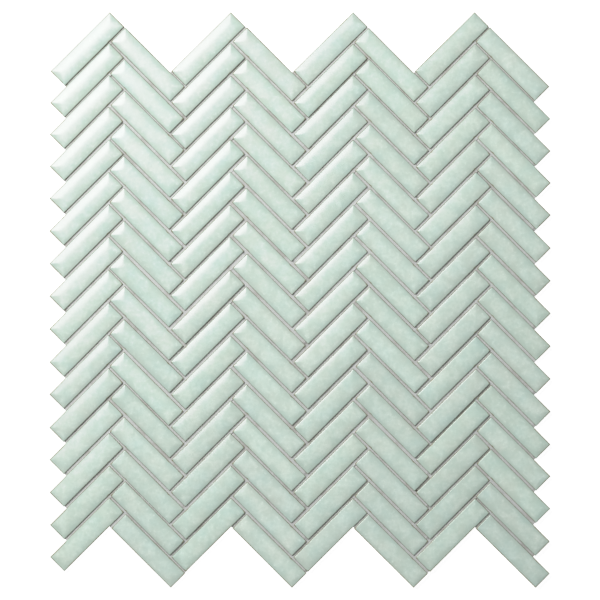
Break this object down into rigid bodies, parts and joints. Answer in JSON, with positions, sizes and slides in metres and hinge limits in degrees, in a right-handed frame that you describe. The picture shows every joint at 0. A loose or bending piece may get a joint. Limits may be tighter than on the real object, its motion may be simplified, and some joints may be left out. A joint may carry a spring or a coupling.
{
  "type": "herringbone mosaic tile sheet",
  "caption": "Sheet of pillowed, pale green glazed ceramic chips laid in a herringbone and bonded by a light grey filler in the joints, for tiling walls and floors.",
  "frame": {"origin": "middle of the sheet's outline, on the flat back", "axes": "+X across the columns, +Y up the columns, +Z out of the glazed face"},
  "size_m": [0.3004, 0.3448, 0.006],
  "materials": {
    "glaze": "glossy pale green glaze, clouded, with the white body showing on the sides",
    "filler": "matt light grey joint filler"
  },
  "bodies": {
    "root": {"column_1_rising_chips": "glaze", "column_1_falling_chips": "glaze", "column_2_rising_chips": "glaze", "column_2_falling_chips": "glaze", "column_3_rising_chips": "glaze", "column_3_falling_chips": "glaze", "column_4_rising_chips": "glaze", "column_4_falling_chips": "glaze", "rising_joint_filler": "filler", "falling_joint_filler": "filler"}
  },
  "joints": []
}
